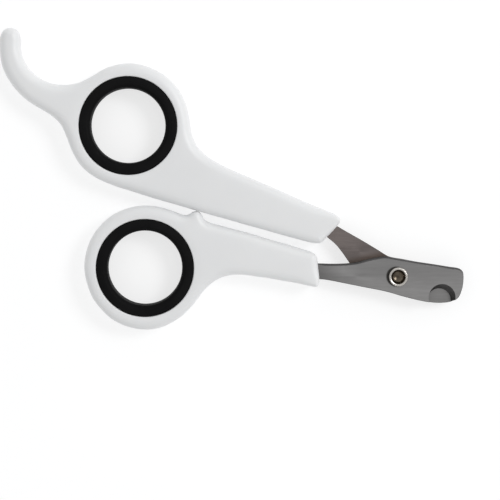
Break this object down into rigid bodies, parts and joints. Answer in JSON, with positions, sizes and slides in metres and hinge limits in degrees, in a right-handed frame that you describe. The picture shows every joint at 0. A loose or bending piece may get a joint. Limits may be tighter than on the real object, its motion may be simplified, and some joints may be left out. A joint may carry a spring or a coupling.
{
  "type": "scissor type pet nail trimmer",
  "caption": "Small scissor-type claw trimmer: two ring handles with soft inserts and a finger-rest hook, notched short blades and a hollow rivet pivot.",
  "frame": {"origin": "middle of the footprint of the closed trimmer lying flat, on the surface it lies on (the plane of the handles' flat backs)", "axes": "+X along the closed trimmer towards the blade tips, +Y from the thumb ring towards the finger ring, +Z along the pivot, out of the face with the rivet's rolled rim"},
  "size_m": [0.1248, 0.0812, 0.008],
  "materials": {
    "handle_plastic": "satin",
    "insert_rubber": "satin",
    "front_blade_steel": "fine brushed",
    "rear_blade_steel": "fine brushed",
    "rivet_steel": "bright"
  },
  "bodies": {
    "thumb_half": {"thumb_handle": "handle_plastic", "thumb_ring_insert": "insert_rubber", "front_blade": "front_blade_steel", "pivot_rivet": "rivet_steel"},
    "finger_half": {"finger_handle": "handle_plastic", "finger_ring_insert": "insert_rubber", "rear_blade": "rear_blade_steel"}
  },
  "joints": [
    {"name": "pivot", "type": "hinge", "parent": "thumb_half", "child": "finger_half", "pos_m": [0.04473, -0.0264, 0], "axis": [0, 0, -1], "range_deg": [0, 60]}
  ]
}
